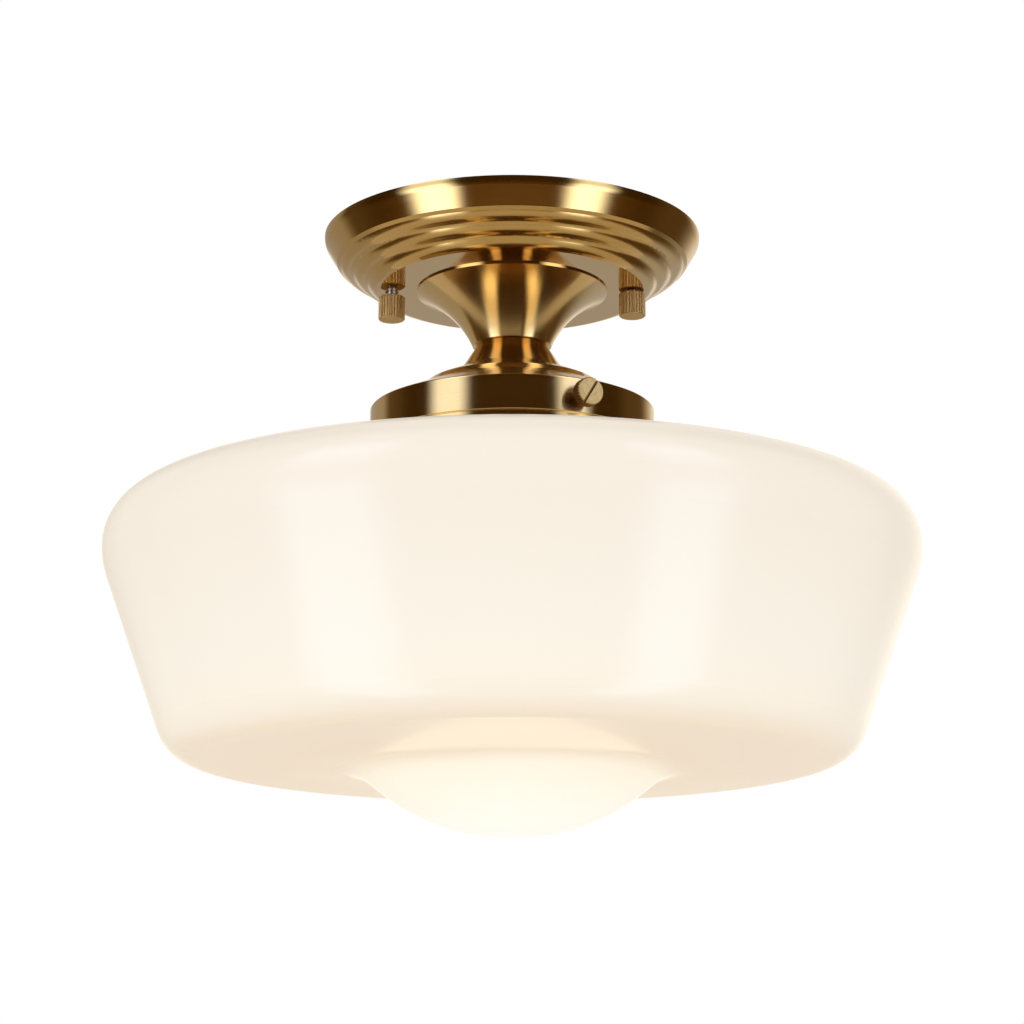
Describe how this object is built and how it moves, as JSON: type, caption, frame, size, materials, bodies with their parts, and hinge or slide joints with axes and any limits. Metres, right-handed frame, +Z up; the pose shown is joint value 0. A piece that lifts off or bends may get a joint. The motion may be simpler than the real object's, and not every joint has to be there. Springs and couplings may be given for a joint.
{
  "type": "semi flush ceiling light",
  "caption": "Spun brass canopy, trumpet neck and shade fitter over a wide opal glass shade with a rounded bulge below; screw lamp inside, bracket above.",
  "frame": {"origin": "on the ceiling, midway between the two box screw slots of the mounting bracket, where the light's vertical axis meets it", "axes": "+Z up into the ceiling along the light's axis; +X along the bracket arm with the canopy studs; the thumb screw is on the front, -Y, turned 27 degrees towards +X"},
  "size_m": [0.2998, 0.2998, 0.2261],
  "materials": {
    "satin_brass": "satin, brushed around, lacquered",
    "raw_brass": "turned and knurled, unlacquered",
    "zinc_steel": "zinc plated",
    "green_steel": "green dyed screw",
    "opal_glass": "glossy blown opal glass",
    "plated_aluminium": "thin pressed sheet, satin",
    "porcelain": "glazed white porcelain",
    "black_glass": "glossy black insulator glass",
    "frosted_glass": "soft white coated glass",
    "black_insulation": "satin wire insulation",
    "white_insulation": "satin wire insulation",
    "green_insulation": "satin wire insulation",
    "connector_plastic": "moulded orange plastic"
  },
  "bodies": {
    "fixture": {"mounting_bracket": "zinc_steel", "ground_screw": "green_steel", "canopy": "satin_brass", "trumpet_neck": "satin_brass", "shade_fitter": "satin_brass", "canopy_stud_left": "zinc_steel", "stud_lock_nut_left": "zinc_steel", "canopy_stud_right": "zinc_steel", "stud_lock_nut_right": "zinc_steel", "threaded_tube": "zinc_steel", "canopy_washer": "zinc_steel", "canopy_lock_nut": "zinc_steel", "fitter_washer": "zinc_steel", "fitter_lock_nut": "zinc_steel", "glass_shade": "opal_glass", "holder_cap": "plated_aluminium", "holder_set_screw": "zinc_steel", "holder_body": "porcelain", "holder_screw_shell": "plated_aluminium", "holder_centre_contact": "raw_brass", "terminal_screw_hot": "raw_brass", "terminal_screw_neutral": "zinc_steel", "lead_hot": "black_insulation", "lead_neutral": "white_insulation", "lead_ground": "green_insulation", "wire_connector_hot": "connector_plastic", "wire_connector_neutral": "connector_plastic", "wire_connector_ground": "connector_plastic"},
    "thumb_screw": {"thumb_screw": "raw_brass"},
    "cap_nut_left": {"cap_nut_left": "raw_brass"},
    "cap_nut_right": {"cap_nut_right": "raw_brass"},
    "lamp": {"lamp_cap": "plated_aluminium", "lamp_insulator": "black_glass", "lamp_end_contact": "zinc_steel", "lamp_globe": "frosted_glass"}
  },
  "joints": [
    {"name": "thumb_screw_turns_out", "type": "slide", "parent": "fixture", "child": "thumb_screw", "axis": [0.454, -0.891, 0], "range_m": [0, 0.0036]},
    {"name": "left_cap_nut_turns_down", "type": "slide", "parent": "fixture", "child": "cap_nut_left", "axis": [0, 0, -1], "range_m": [-0.0017, 0.005]},
    {"name": "right_cap_nut_turns_down", "type": "slide", "parent": "fixture", "child": "cap_nut_right", "axis": [0, 0, -1], "range_m": [-0.0003, 0.0065]},
    {"name": "lamp_turns_out", "type": "slide", "parent": "fixture", "child": "lamp", "axis": [0, 0, -1], "range_m": [0, 0.026]}
  ]
}
